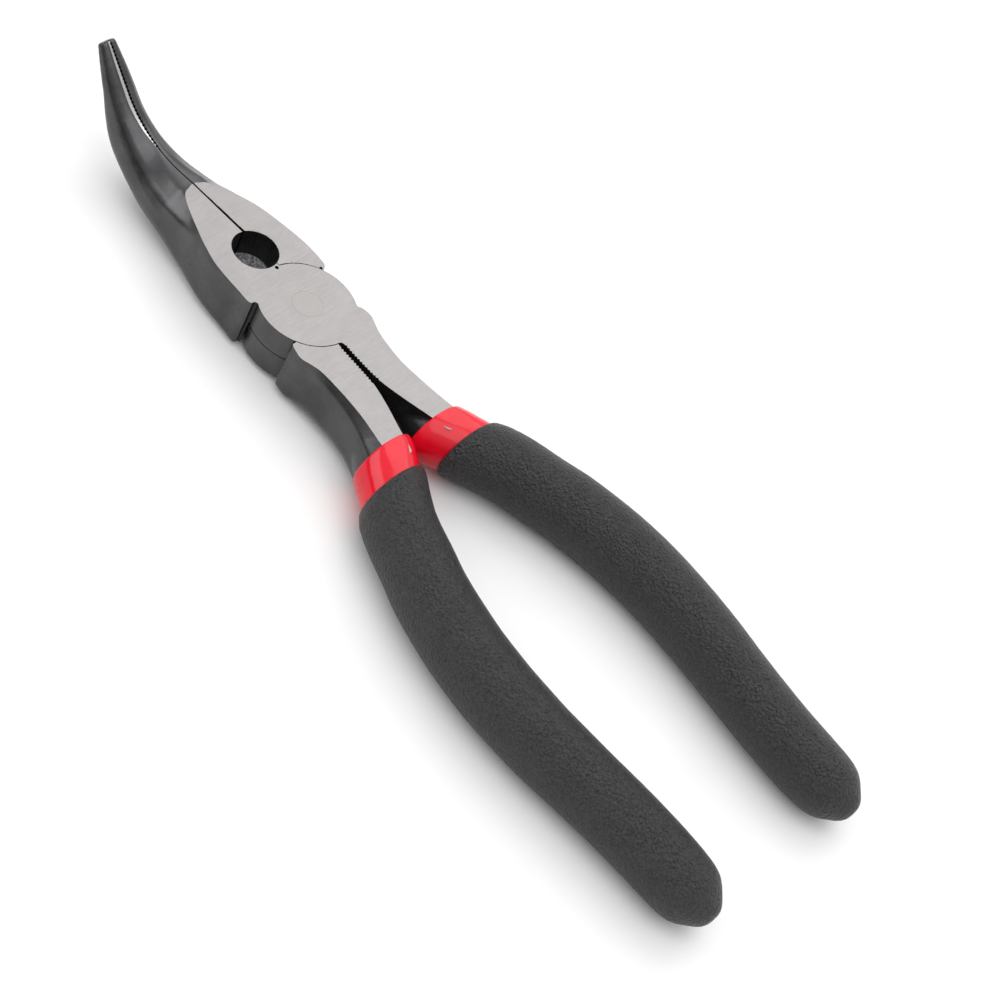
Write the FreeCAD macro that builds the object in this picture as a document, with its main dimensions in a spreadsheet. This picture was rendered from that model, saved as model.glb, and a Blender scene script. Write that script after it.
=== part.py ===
import FreeCAD, Part
from collections import namedtuple
import math
import operator
import os
import Sketcher

# Bent needle nose pliers: two forged levers in a lap joint, one rivet, and on each handle a
# dipped plastic sleeve under a foam grip.
#
# Frame, in millimetres: +Z is the pivot axis, and the ground underside of the joint is z = 0.
# +X points along the closed jaws to the nose, and +Y is the side of the upper lever's jaw.
# The handles are a mirror pair about a line through the pivot, the handle line, on which a
# place is (back, out): its distance back from the pivot and its distance out from the line.

# Driving dimensions: name, value, what it is.
DIMENSIONS = [
    ("joint_thickness", 12.0, "between the two ground faces"),
    ("disc_radius", 10.3, "round lap of each lever at the pivot"),
    ("shoulder_gap", 0.2, "between a lap and the arc that it turns in"),
    ("lap_gap", 0.1, "between the two laps"),
    ("rivet_radius", 3.2, "shank of the rivet"),
    ("rivet_head_radius", 4.4, "countersunk head of the rivet"),
    ("rivet_head_depth", 1.4, "cone of the countersunk head"),
    ("rivet_gap", 0.05, "running fit in the lower lever"),
    ("parting_offset", 2.23, "from the pivot to the plane where the jaws meet"),
    ("slit_rear", 0.6, "gap between the jaws at the joint"),
    ("slit_tip", 0.16, "gap between the jaws at the tip"),
    ("grip_hole_radius", 4.84, "round hole through the closed jaws"),
    ("grip_hole_forward", 15.5, "hole's centre, ahead of the pivot"),
    ("grip_hole_aside", 1.33, "hole's centre, off the parting plane"),
    ("upper_rear_x", 6.8, "rear corner of the upper jaw"),
    ("upper_rear_width", 12.4, "the same corner, off the parting plane"),
    ("upper_root_width", 11.1, "upper jaw where its taper starts"),
    ("lower_rear_x", 5.2, "rear corner of the lower jaw"),
    ("lower_rear_width", 8.6, "the same corner, off the parting plane"),
    ("lower_root_width", 8.8, "lower jaw where its taper starts"),
    ("jaw_root_x", 17.5, "where the jaws' taper starts"),
    ("jaw_middle_x", 26.0, "middle of the straight jaws"),
    ("upper_middle_width", 9.2, "upper jaw there"),
    ("lower_middle_width", 8.6, "lower jaw there"),
    ("jaw_front_x", 34.4, "where the ground face runs out"),
    ("jaw_front_width", 8.1, "one jaw there"),
    ("jaw_front_rise", 0.35, "underside of the forging there, above the ground underside"),
    ("root_crown", 1.8, "forging above the ground face where the taper starts"),
    ("middle_crown", 1.2, "forging above the ground face at the middle of the straight jaws"),
    ("bend_x", 38.5, "where the nose starts to bend"),
    ("ridge_dip", 0.2, "top of the forging below the ground face there"),
    ("bend_radius", 24.0, "bend of the nose along its top"),
    ("nose_angle", 42.5, "degrees that the nose is bent by"),
    ("tip_length", 11.3, "straight tip beyond the bend, along its top"),
    ("bend_start_width", 7.3, "one jaw at the start of the bend"),
    ("bend_start_depth", 10.9, "top to underside there"),
    ("bend_third_width", 5.6, "one jaw a third of the way round"),
    ("bend_third_depth", 9.7, "top to underside there"),
    ("bend_late_width", 4.45, "one jaw two thirds of the way round"),
    ("bend_late_depth", 8.2, "top to underside there"),
    ("bend_end_width", 3.8, "one jaw at the end of the bend"),
    ("bend_end_depth", 5.3, "top to underside there"),
    ("tip_middle_width", 3.0, "one jaw halfway along the straight tip"),
    ("tip_middle_depth", 3.65, "top to underside there"),
    ("tip_width", 2.0, "one jaw at the tip"),
    ("tip_depth", 2.3, "top to underside at the tip"),
    ("handle_turn", 5.46, "degrees from the jaws' line to the handle line, clockwise"),
    ("neck_front", 6.4, "front shoulder of the neck, back"),
    ("neck_front_out", 10.3, "front shoulder of the neck, out"),
    ("neck_waist", 20.0, "narrowest place of the neck, back"),
    ("neck_waist_out", 7.9, "corner that rounds the outer edge there"),
    ("neck_waist_radius", 40.0, "hollow of the outer edge"),
    ("neck_inner_gap", 4.2, "inner edge of the neck at the collar, out"),
    ("neck_outer_out", 10.0, "outer edge of the neck at the collar, out"),
    ("neck_under_round", 3.0, "rounded lower outer edge of the neck"),
    ("upper_tooth_line", 0.7, "toothed inner edge of the upper lever, out"),
    ("lower_tooth_line", 1.3, "toothed inner edge of the lower lever, out"),
    ("tooth_end", 21.0, "back end of the toothed edges, back"),
    ("tooth_pitch", 0.75, "from tooth to tooth"),
    ("tooth_depth", 0.35, "depth of a tooth"),
    ("bar_start", 24.0, "where the round handle bar rises out of the neck, back"),
    ("bar_start_out", 5.45, "its centre there, out"),
    ("bar_start_radius", 4.1, "its radius there"),
    ("collar_front", 33.0, "front rim of the sleeve, back"),
    ("collar_out", 7.05, "centre of the bar there, out"),
    ("bar_collar_radius", 5.95, "bar at the collar"),
    ("bar_radius", 5.2, "bar inside the grip"),
    ("bar_tail_radius", 4.0, "bar at its back end"),
    ("handle_gap", 0.3, "least gap between the two bars with the jaws shut"),
    ("bar_end_gap", 11.0, "bar's end ahead of the grip's end"),
    ("sleeve_rim", 0.5, "sleeve's wall at its front rim"),
    ("sleeve_wall", 0.9, "sleeve's wall inside the grip"),
    ("grip_front", 39.8, "front edge of the foam grip, back"),
    ("grip_front_radius", 6.95, "grip at its front edge"),
    ("grip_radius", 7.5, "grip at its fullest"),
    ("grip_back_radius", 7.1, "grip a little ahead of its tail"),
    ("grip_tail_start", 6.9, "radius where the tail starts"),
    ("grip_tail_shoulder", 6.5, "radius of the corner that rounds the tail"),
    ("grip_tail_round", 6.0, "round of that corner"),
    ("grip_tail_nose", 4.6, "length of the cone behind that corner"),
    ("grip_tail_radius", 2.2, "blunt end of the tail"),
    ("grip_tail_length", 12.0, "whole tail"),
    ("upper_grip_end", 140.7, "back end of the upper lever's grip, back"),
    ("lower_grip_end", 138.5, "back end of the lower lever's grip, back"),
    ("handle_bow_radius", 88.0, "bow of the handle from the collar to its fullest spread"),
    ("handle_spread_back", 84.0, "fullest spread of the handles, back"),
    ("handle_spread", 23.3, "fullest spread of the handles, out"),
    ("tail_inset", 2.7, "tail, in from the fullest spread"),
    ("tail_ease", 44.0, "length behind the fullest spread that it comes in over"),
]

# Shares that shape the forging's section and place the sections along the handle.
TOP_SLOPE = 0.40
TOP_ROUND = 0.30
UNDER_ROUND = 0.48
JAW_OVERLAP = 1.5
ROOT_UNDER = 1.0
MIDDLE_UNDER = 0.6
ROOT_DROP = 0.5
MIDDLE_DROP = 1.7
ROOT_ROUND = 1.2
MIDDLE_ROUND = 2.8
BAR_START_SLOPE = 8.0
COLLAR_SLOPE = 14.0
TAIL_END_ROUND = 1.5
BAR_STATIONS = (0.11, 0.25, 0.44, 0.67)
GRIP_STATIONS = (0.2, 0.4, 0.6, 0.8)
CLEAR = 60.0

doc = FreeCAD.newDocument("needle_nose_pliers")
sheet = doc.addObject("Spreadsheet::Sheet", "Sizes")
for row, (alias, value, meaning) in enumerate(DIMENSIONS, start=1):
    sheet.set("A%d" % row, alias)
    sheet.set("B%d" % row, str(value))
    sheet.set("C%d" % row, meaning)
    sheet.setAlias("B%d" % row, alias)
doc.recompute()


class Size:
    """A number that remembers its formula, so that a feature can be bound to the sheet."""

    def __init__(self, value, formula):
        self.value = float(value)
        self.formula = formula

    def joined(self, other, sign, work):
        other = as_size(other)
        return Size(work(self.value, other.value), "(%s %s %s)" % (self.formula, sign, other.formula))

    def __add__(self, other):
        return self.joined(other, "+", operator.add)

    def __sub__(self, other):
        return self.joined(other, "-", operator.sub)

    def __mul__(self, other):
        return self.joined(other, "*", operator.mul)

    def __truediv__(self, other):
        return self.joined(other, "/", operator.truediv)


def as_size(number):
    if isinstance(number, Size):
        return number
    return Size(number, repr(float(number)))


def sine(angle):
    return Size(math.sin(math.radians(angle.value)), "sin(%s)" % angle.formula)


def cosine(angle):
    return Size(math.cos(math.radians(angle.value)), "cos(%s)" % angle.formula)


def arc_sine(share):
    return Size(math.degrees(math.asin(share.value)), "(asin(%s) / 1 deg)" % share.formula)


def root(number):
    return Size(math.sqrt(number.value), "sqrt(%s)" % number.formula)


def size(alias):
    return Size(sheet.get(alias), "Sizes." + alias)


ZERO = as_size(0)
Half = namedtuple("Half", "name jaw_side handle_side is_upper")
AXES = {
    "x": FreeCAD.Vector(1, 0, 0),
    "y": FreeCAD.Vector(0, 1, 0),
    "z": FreeCAD.Vector(0, 0, 1),
}


# Sketches -----------------------------------------------------------------------------------

def new_body(label):
    body = doc.addObject("PartDesign::Body", label)
    body.Label = label
    return body


def new_sketch(body, name, plane, place=(ZERO, ZERO, ZERO), axis="z", turn=ZERO):
    """A sketch on an origin plane of its body, moved and turned within that plane's frame."""
    sketch = body.newObject("Sketcher::SketchObject", name)
    support = [item for item in body.Origin.OriginFeatures if item.Role == plane][0]
    sketch.AttachmentSupport = [(support, "")]
    sketch.MapMode = "FlatFace"
    sketch.AttachmentOffset = FreeCAD.Placement(FreeCAD.Vector(), FreeCAD.Rotation(AXES[axis], 1))
    for letter, distance in zip("xyz", place):
        sketch.setExpression("AttachmentOffset.Base." + letter, as_size(distance).formula)
    sketch.setExpression("AttachmentOffset.Rotation.Angle", as_size(turn).formula)
    return sketch


def bind(sketch, kind, target, distance):
    """Adds one dimension to a sketch and ties it to the sheet."""
    number = sketch.addConstraint(Sketcher.Constraint(kind, *target, distance.value))
    sketch.setExpression("Constraints[%d]" % number, distance.formula)


def place_point(sketch, target, x, y):
    bind(sketch, "DistanceX", (-1, 1) + target, x)
    bind(sketch, "DistanceY", (-1, 1) + target, y)


def add_circle(sketch, radius, x=ZERO, y=ZERO):
    centre = FreeCAD.Vector(x.value, y.value, 0)
    item = sketch.addGeometry(Part.Circle(centre, AXES["z"], radius.value), False)
    place_point(sketch, (item, 3), x, y)
    bind(sketch, "Radius", (item,), radius)


def corner_round(before, corner, after, radius):
    """The arc that rounds a corner, and whether it runs against the outline."""
    inward = (corner - before).normalize()
    outward = (after - corner).normalize()
    turn = math.atan2(inward.cross(outward).z, inward.dot(outward))
    reach = radius * math.tan(abs(turn) / 2)
    first = corner - inward * reach
    last = corner + outward * reach
    side = FreeCAD.Vector(-inward.y, inward.x, 0) * math.copysign(1, turn)
    centre = first + side * radius
    angles = [math.atan2(point.y - centre.y, point.x - centre.x) for point in (first, last)]
    if turn < 0:
        angles.reverse()
    arc = Part.ArcOfCircle(Part.Circle(centre, AXES["z"], radius), angles[0], angles[1])
    return first, last, arc, turn < 0


def add_outline(sketch, corners):
    """A closed outline through corners (x, y, rounding). Rounding 0 leaves a corner sharp."""
    corners = [tuple(as_size(number) for number in corner) for corner in corners]
    points = [FreeCAD.Vector(x.value, y.value, 0) for x, y, rounding in corners]
    count = len(corners)
    rounds = {}
    starts = list(points)
    ends = list(points)
    for index, (x, y, rounding) in enumerate(corners):
        if rounding.value > 0:
            before = points[index - 1]
            after = points[(index + 1) % count]
            rounds[index] = corner_round(before, points[index], after, rounding.value)
            ends[index], starts[index] = rounds[index][0:2]
    lines = []
    for index in range(count):
        edge = Part.LineSegment(starts[index], ends[(index + 1) % count])
        lines.append(sketch.addGeometry(edge, False))
    for index, (x, y, rounding) in enumerate(corners):
        line_in = lines[index - 1]
        line_out = lines[index]
        if index not in rounds:
            sketch.addConstraint(Sketcher.Constraint("Coincident", line_in, 2, line_out, 1))
            place_point(sketch, (line_out, 1), x, y)
            continue
        arc = sketch.addGeometry(rounds[index][2], False)
        arc_first, arc_last = (2, 1) if rounds[index][3] else (1, 2)
        sketch.addConstraint(Sketcher.Constraint("Tangent", line_in, 2, arc, arc_first))
        sketch.addConstraint(Sketcher.Constraint("Tangent", arc, arc_last, line_out, 1))
        mark = sketch.addGeometry(Part.Point(points[index]), True)
        for line in (line_in, line_out):
            sketch.addConstraint(Sketcher.Constraint("PointOnObject", mark, 1, line))
        place_point(sketch, (mark, 1), x, y)
        bind(sketch, "Radius", (arc,), rounding)


# Features -----------------------------------------------------------------------------------

def pad(body, sketch, length, name):
    feature = body.newObject("PartDesign::Pad", name)
    feature.Profile = sketch
    feature.setExpression("Length", as_size(length).formula)
    return feature


def pocket(body, sketch, length, name, must_cut=True):
    """Cuts from the sketch against its normal, and proves that something was cut if it has to."""
    doc.recompute()
    volume = body.Shape.Volume
    feature = body.newObject("PartDesign::Pocket", name)
    feature.Profile = sketch
    feature.setExpression("Length", as_size(length).formula)
    doc.recompute()
    if must_cut and body.Shape.Volume >= volume:
        raise RuntimeError("%s cut nothing" % name)
    return feature


def loft(body, sections, name):
    feature = body.newObject("PartDesign::AdditiveLoft", name)
    feature.Profile = sections[0]
    feature.Sections = sections[1:]
    return feature


def revolve(body, sketch, axis, name):
    feature = body.newObject("PartDesign::Revolution", name)
    feature.Profile = sketch
    feature.ReferenceAxis = (sketch, [axis])
    feature.Angle = 360
    return feature


def repeat(body, feature, direction, length, count, name):
    pattern = body.newObject("PartDesign::LinearPattern", name)
    pattern.Originals = [feature]
    pattern.Direction = direction
    pattern.setExpression("Length", as_size(length).formula)
    pattern.Occurrences = count
    body.Tip = pattern
    return pattern


# The handle line ----------------------------------------------------------------------------

def bow(back):
    """Centre of the handle on its front bow, (out, slope), at a distance back of the pivot."""
    radius = size("handle_bow_radius")
    short = size("handle_spread_back") - back
    out = size("handle_spread") - radius + root(radius * radius - short * short)
    return out, arc_sine(short / radius)


def tail_line(back):
    """Centre of the handle behind its fullest spread, where it comes in a little."""
    share = (back - size("handle_spread_back")) / size("tail_ease")
    if share.value > 1:
        share = as_size(1)
    ease = share * share * (as_size(3) - share * 2)
    return size("handle_spread") - size("tail_inset") * ease, ZERO


def handle_centre(back):
    if back.value < size("handle_spread_back").value:
        return bow(back)
    return tail_line(back)


def handle_place(side, back, out):
    """The (x, y) of a place given on the handle line."""
    turn = size("handle_turn")
    x = (ZERO - back) * cosine(turn) + out * sine(turn) * side
    y = back * sine(turn) + out * cosine(turn) * side
    return x, y


def handle_section(body, name, side, back, out, slope, radius):
    """A round section across one handle, whose axis is halfway between the ground faces."""
    x, y = handle_place(side, back, out)
    place = (y, size("joint_thickness") / 2, x)
    turn = ZERO - size("handle_turn") - slope * side
    sketch = new_sketch(body, name, "YZ_Plane", place, "y", turn)
    add_circle(sketch, radius)
    return sketch


def station(end, share):
    """A distance back of the pivot, as a share of the way from the collar to an end."""
    return size("collar_front") + (end - size("collar_front")) * share


def handle_loft(body, side, name, stations):
    """A round bar through stations (back, out, slope, radius) of one handle."""
    sections = []
    for number, (back, out, slope, radius) in enumerate(stations):
        label = "%s_section_%d" % (name, number)
        sections.append(handle_section(body, label, side, back, out, slope, radius))
    return loft(body, sections, name)


def on_centre(back, radius):
    out, slope = handle_centre(back)
    return back, out, slope, radius


def bar_stations(half, extra_front, extra):
    """The steel bar's stations, with its radius grown by a sleeve's wall."""
    front = (size("collar_front"), size("collar_out"), as_size(COLLAR_SLOPE),
             size("bar_collar_radius") + extra_front)
    end = size(half.name + "_grip_end") - size("bar_end_gap") + extra
    radii = (
        (size("bar_collar_radius") + size("bar_radius")) / 2,
        size("bar_radius"),
        size("bar_radius"),
        (size("bar_radius") * 2 + size("bar_tail_radius")) / 3,
    )
    stations = [front]
    for share, radius in zip(BAR_STATIONS, radii):
        stations.append(on_centre(station(end, share), radius + extra))
    stations.append(on_centre(end, size("bar_tail_radius") + extra))
    return stations


def trim_front(body, back, name):
    """Cuts off what stands ahead of a plane square to the handle line."""
    thickness = size("joint_thickness")
    sketch = new_sketch(body, name + "_sketch", "XY_Plane", (ZERO, ZERO, thickness + CLEAR), "z",
                        ZERO - size("handle_turn"))
    add_outline(sketch, [
        (ZERO - back, -CLEAR, 0),
        (CLEAR, -CLEAR, 0),
        (CLEAR, CLEAR, 0),
        (ZERO - back, CLEAR, 0),
    ])
    pocket(body, sketch, thickness + 2 * CLEAR, name)


# The nose -----------------------------------------------------------------------------------

def nose_section(body, name, side, x, z, tilt, outline):
    """A jaw's section, on the parting plane at (x, z), from corners (out, down, rounding)."""
    sketch = new_sketch(body, name, "YZ_Plane", (ZERO - size("parting_offset"), z, x), "x", ZERO - tilt)
    corners = []
    for out, down, rounding in outline:
        corners.append((out * side, ZERO - down, rounding))
    add_outline(sketch, corners)
    return sketch


def forged_outline(gap, width, depth, drop, top_round, under_round):
    """A jaw's section: flat where the jaws meet, a sloping top, and two rounded outer edges."""
    return [
        (gap, depth, ZERO),
        (gap, ZERO, ZERO),
        (width, drop, top_round),
        (width, depth, under_round),
    ]


def nose_outline(gap, width, depth):
    return forged_outline(gap, width, depth, width * TOP_SLOPE, width * TOP_ROUND, width * UNDER_ROUND)


def jaw_loft(body, half):
    """The forged jaw, from its root through the bend to the tip."""
    side = half.jaw_side
    thickness = size("joint_thickness")
    rear_gap = size("slit_rear") / 2
    tip_gap = size("slit_tip") / 2
    middle_gap = (rear_gap + tip_gap) / 2
    root_z = thickness + size("root_crown")
    middle_z = thickness + size("middle_crown")
    outline = forged_outline(rear_gap, size(half.name + "_root_width"), root_z + ROOT_UNDER,
                             as_size(ROOT_DROP), as_size(ROOT_ROUND), as_size(ROOT_ROUND))
    sections = [nose_section(body, "jaw_root", side, size("jaw_root_x") - JAW_OVERLAP, root_z, ZERO, outline)]
    outline = forged_outline(middle_gap, size(half.name + "_middle_width"), middle_z + MIDDLE_UNDER,
                             as_size(MIDDLE_DROP), as_size(MIDDLE_ROUND), as_size(MIDDLE_ROUND))
    sections.append(nose_section(body, "jaw_middle", side, size("jaw_middle_x"), middle_z, ZERO, outline))
    outline = nose_outline(tip_gap, size("jaw_front_width"), thickness - size("jaw_front_rise"))
    sections.append(nose_section(body, "jaw_front", side, size("jaw_front_x"), thickness, ZERO, outline))

    def add_nose_section(name, x, z, tilt):
        outline = nose_outline(tip_gap, size(name + "_width"), size(name + "_depth"))
        sections.append(nose_section(body, name, side, x, z, tilt, outline))

    radius = size("bend_radius")
    for name, share in (("bend_start", 0), ("bend_third", 1 / 3), ("bend_late", 2 / 3), ("bend_end", 1)):
        tilt = size("nose_angle") * share
        x = size("bend_x") + radius * sine(tilt)
        z = thickness - size("ridge_dip") + radius * (as_size(1) - cosine(tilt))
        add_nose_section(name, x, z, tilt)
    for name, share in (("tip_middle", 0.5), ("tip", 1)):
        reach = size("tip_length") * share
        add_nose_section(name, x + reach * cosine(tilt), z + reach * sine(tilt), tilt)
    return loft(body, sections, "forged_jaw")


# The levers ---------------------------------------------------------------------------------

def neck_outline(side, tooth_line):
    """The neck between the joint and the collar, on the handle line."""
    front = ZERO - size("neck_front")
    collar = ZERO - size("collar_front")
    corners = [
        (as_size(-2), as_size(4), ZERO),
        (front + 0.2, size("neck_front_out") - 1.4, ZERO),
        (front, size("neck_front_out"), ZERO),
        (front - 3, size("neck_front_out"), as_size(6)),
        (ZERO - size("neck_waist"), size("neck_waist_out"), size("neck_waist_radius")),
        (collar, size("neck_outer_out"), ZERO),
        (collar, size("neck_inner_gap"), ZERO),
        (ZERO - size("tooth_end"), tooth_line, ZERO),
        (as_size(-8), tooth_line, ZERO),
    ]
    return [(back, out * side, rounding) for back, out, rounding in corners]


def round_neck(body, neck, half):
    """Rounds the lower outer edge of the neck."""
    doc.recompute()
    turn = FreeCAD.Rotation(AXES["z"], size("handle_turn").value)
    names = []
    for number, edge in enumerate(body.Shape.Edges, start=1):
        middle = turn.multVec(edge.valueAt((edge.FirstParameter + edge.LastParameter) / 2))
        back = -middle.x
        out = middle.y * half.handle_side
        in_length = size("neck_front").value + 0.1 < back < size("collar_front").value - 0.1
        if edge.BoundBox.ZMax < 0.001 and in_length and out > size("neck_inner_gap").value + 1:
            names.append("Edge%d" % number)
    fillet = body.newObject("PartDesign::Fillet", "neck_under_round")
    fillet.Base = (neck, names)
    fillet.setExpression("Radius", size("neck_under_round").formula)


def jaw_plan(half):
    """The jaw behind its taper, seen along the pivot, from the parting plane outwards."""
    parting = ZERO - size("parting_offset")
    gap = size("slit_rear") / 2
    rear_x = size(half.name + "_rear_x")
    rear_width = size(half.name + "_rear_width")
    root_width = size(half.name + "_root_width")
    corners = [
        (ZERO, gap, ZERO),
        (size("jaw_root_x"), gap, ZERO),
        (size("jaw_root_x"), root_width, ZERO),
        (rear_x, rear_width, as_size(0.3)),
        (rear_x - 1.4, rear_width - 1.5, ZERO),
        (ZERO, rear_width / 2, ZERO),
    ]
    return [(x, parting + out * half.jaw_side, rounding) for x, out, rounding in corners]


def make_lever(half):
    """One forged lever: lap, jaw and nose on one side, neck and handle bar on the other."""
    thickness = size("joint_thickness")
    lap = (thickness - size("lap_gap")) / 2
    lap_floor = thickness - lap if half.is_upper else ZERO
    recess_top = thickness - lap if half.is_upper else thickness
    tooth_line = size(half.name + "_tooth_line")
    turn = ZERO - size("handle_turn")
    body = new_body(half.name + "_lever")

    sketch = new_sketch(body, "lap_sketch", "XY_Plane", (ZERO, ZERO, lap_floor))
    add_circle(sketch, size("disc_radius"))
    pad(body, sketch, lap, "lap")

    sketch = new_sketch(body, "neck_sketch", "XY_Plane", (ZERO, ZERO, ZERO), "z", turn)
    add_outline(sketch, neck_outline(half.handle_side, tooth_line))
    neck = pad(body, sketch, thickness, "neck")
    round_neck(body, neck, half)

    sketch = new_sketch(body, "jaw_sketch", "XY_Plane")
    add_outline(sketch, jaw_plan(half))
    pad(body, sketch, thickness, "jaw")
    jaw_loft(body, half)

    start = (size("bar_start"), size("bar_start_out"), as_size(BAR_START_SLOPE), size("bar_start_radius"))
    handle_loft(body, half.handle_side, "handle_bar", [start] + bar_stations(half, 0, 0))

    # Both faces are ground flat from the neck to the start of the bend.
    for name, level in (("ground_top", thickness + CLEAR), ("ground_underside", ZERO)):
        sketch = new_sketch(body, name + "_sketch", "XY_Plane", (ZERO, ZERO, level))
        add_outline(sketch, [
            (-3 * CLEAR, -CLEAR, 0),
            (size("bend_x"), -CLEAR, 0),
            (size("bend_x"), CLEAR, 0),
            (-3 * CLEAR, CLEAR, 0),
        ])
        pocket(body, sketch, CLEAR, name)

    # The two bars pass close to each other behind the teeth, and never touch.
    sketch = new_sketch(body, "handle_gap_sketch", "XY_Plane", (ZERO, ZERO, thickness), "z", turn)
    add_outline(sketch, [
        (ZERO - size("collar_front"), ZERO - CLEAR * half.handle_side, 0),
        (ZERO - size("tooth_end"), ZERO - CLEAR * half.handle_side, 0),
        (ZERO - size("tooth_end"), size("handle_gap") / 2 * half.handle_side, 0),
        (ZERO - size("collar_front"), size("handle_gap") / 2 * half.handle_side, 0),
    ])
    pocket(body, sketch, thickness, "handle_gap_cut", must_cut=False)

    sketch = new_sketch(body, "recess_sketch", "XY_Plane", (ZERO, ZERO, recess_top))
    add_circle(sketch, size("disc_radius") + size("shoulder_gap"))
    pocket(body, sketch, thickness - lap, "recess_for_other_lap")

    sketch = new_sketch(body, "grip_hole_sketch", "XY_Plane", (ZERO, ZERO, thickness))
    hole_y = size("grip_hole_aside") - size("parting_offset")
    add_circle(sketch, size("grip_hole_radius"), size("grip_hole_forward"), hole_y)
    pocket(body, sketch, thickness, "grip_hole")

    first = ZERO - size("tooth_end") + size("tooth_pitch")
    half_pitch = size("tooth_pitch") / 2
    sketch = new_sketch(body, "tooth_sketch", "XY_Plane", (ZERO, ZERO, thickness), "z", turn)
    add_outline(sketch, [
        (first - half_pitch, (tooth_line - size("tooth_depth")) * half.handle_side, 0),
        (first - half_pitch, tooth_line * half.handle_side, 0),
        (first, (tooth_line + size("tooth_depth")) * half.handle_side, 0),
        (first + half_pitch, tooth_line * half.handle_side, 0),
        (first + half_pitch, (tooth_line - size("tooth_depth")) * half.handle_side, 0),
    ])
    tooth = pocket(body, sketch, thickness, "tooth_gap")
    room = size("tooth_end") - size("disc_radius") - size("tooth_pitch")
    count = int(room.value / size("tooth_pitch").value)
    repeat(body, tooth, (sketch, ["H_Axis"]), size("tooth_pitch") * (count - 1), count, "toothed_edge")

    gap = ZERO if half.is_upper else size("rivet_gap")
    sketch = new_sketch(body, "rivet_hole_sketch", "XY_Plane", (ZERO, ZERO, thickness))
    add_circle(sketch, size("rivet_radius") + gap)
    pocket(body, sketch, thickness, "rivet_hole")
    if not half.is_upper:
        add_countersink(body)
    return body


def add_countersink(body):
    """The cone in the lower lever that the rivet's head turns in."""
    gap = size("rivet_gap")
    shank = size("rivet_radius") + gap
    head = size("rivet_head_radius") + gap
    sketch = new_sketch(body, "countersink_sketch", "XZ_Plane")
    add_outline(sketch, [
        (ZERO, ZERO, 0),
        (head, ZERO, 0),
        (shank, size("rivet_head_depth") + gap, 0),
        (ZERO, size("rivet_head_depth") + gap, 0),
    ])
    doc.recompute()
    volume = body.Shape.Volume
    groove = body.newObject("PartDesign::Groove", "countersink")
    groove.Profile = sketch
    groove.ReferenceAxis = (sketch, ["V_Axis"])
    groove.Angle = 360
    doc.recompute()
    if body.Shape.Volume >= volume:
        raise RuntimeError("the countersink cut nothing")


def make_rivet():
    """The rivet, ground flush with both faces, with a countersunk head underneath."""
    body = new_body("pivot_rivet")
    shank = size("rivet_radius")
    sketch = new_sketch(body, "rivet_sketch", "XZ_Plane")
    add_outline(sketch, [
        (ZERO, ZERO, 0),
        (size("rivet_head_radius"), ZERO, 0),
        (shank, size("rivet_head_depth"), 0),
        (shank, size("joint_thickness"), 0),
        (ZERO, size("joint_thickness"), 0),
    ])
    revolve(body, sketch, "V_Axis", "rivet")
    return body


# The coverings ------------------------------------------------------------------------------

def sleeve_blank(half):
    """The sleeve's outer shape, closed over the end of the bar."""
    body = new_body(half.name + "_sleeve_blank")
    radius = size("bar_start_radius") + size("sleeve_rim")
    lead = (size("bar_start"), size("bar_start_out"), as_size(BAR_START_SLOPE), radius)
    stations = [lead] + bar_stations(half, size("sleeve_rim"), size("sleeve_wall"))
    handle_loft(body, half.handle_side, "sleeve_skin", stations)
    trim_front(body, size("collar_front"), "sleeve_rim_cut")
    return body


def grip_blank(half):
    """The foam grip's outer shape, with a bullet-shaped tail."""
    body = new_body(half.name + "_grip_blank")
    full = size("grip_radius")
    tail = size(half.name + "_grip_end") - size("grip_tail_length")
    stations = [(size("collar_front"), size("collar_out"), as_size(COLLAR_SLOPE), size("grip_front_radius"))]
    radii = ((full + size("grip_front_radius")) / 2, full, full, size("grip_back_radius"))
    for share, radius in zip(GRIP_STATIONS, radii):
        stations.append(on_centre(station(tail, share), radius))
    stations.append(on_centre(tail, size("grip_tail_start")))
    handle_loft(body, half.handle_side, "grip_skin", stations)

    x, y = handle_place(half.handle_side, tail, handle_centre(tail)[0])
    place = (x, y, size("joint_thickness") / 2)
    sketch = new_sketch(body, "tail_sketch", "XY_Plane", place, "z", ZERO - size("handle_turn"))
    end = ZERO - size("grip_tail_length")
    add_outline(sketch, [
        (ZERO, ZERO, 0),
        (end, ZERO, 0),
        (end, size("grip_tail_radius"), TAIL_END_ROUND),
        (end + size("grip_tail_nose"), size("grip_tail_shoulder"), size("grip_tail_round")),
        (ZERO, size("grip_tail_start"), 0),
    ])
    revolve(body, sketch, "H_Axis", "grip_tail")
    trim_front(body, size("grip_front"), "grip_front_cut")
    return body


def hollowed(label, outer, inner):
    """What is left of one shape around another."""
    cut = doc.addObject("Part::Cut", label)
    cut.Label = label
    cut.Base = outer
    cut.Tool = inner
    return cut


pieces = [make_rivet()]
for half in (Half("upper", 1, -1, True), Half("lower", -1, 1, False)):
    lever = make_lever(half)
    sleeve_outer = sleeve_blank(half)
    grip_outer = grip_blank(half)
    pieces.append(lever)
    pieces.append(hollowed(half.name + "_collar_sleeve", sleeve_outer, lever))
    pieces.append(hollowed(half.name + "_foam_grip", grip_outer, sleeve_outer))
doc.recompute()

for item in doc.Objects:
    if "Invalid" in item.State or "Error" in item.State:
        raise RuntimeError("%s failed: %s" % (item.Label, item.State))
for piece in pieces:
    if piece.Shape.isNull() or not piece.Shape.isValid() or len(piece.Shape.Solids) != 1:
        raise RuntimeError("%s isn't one valid solid" % piece.Label)

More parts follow.
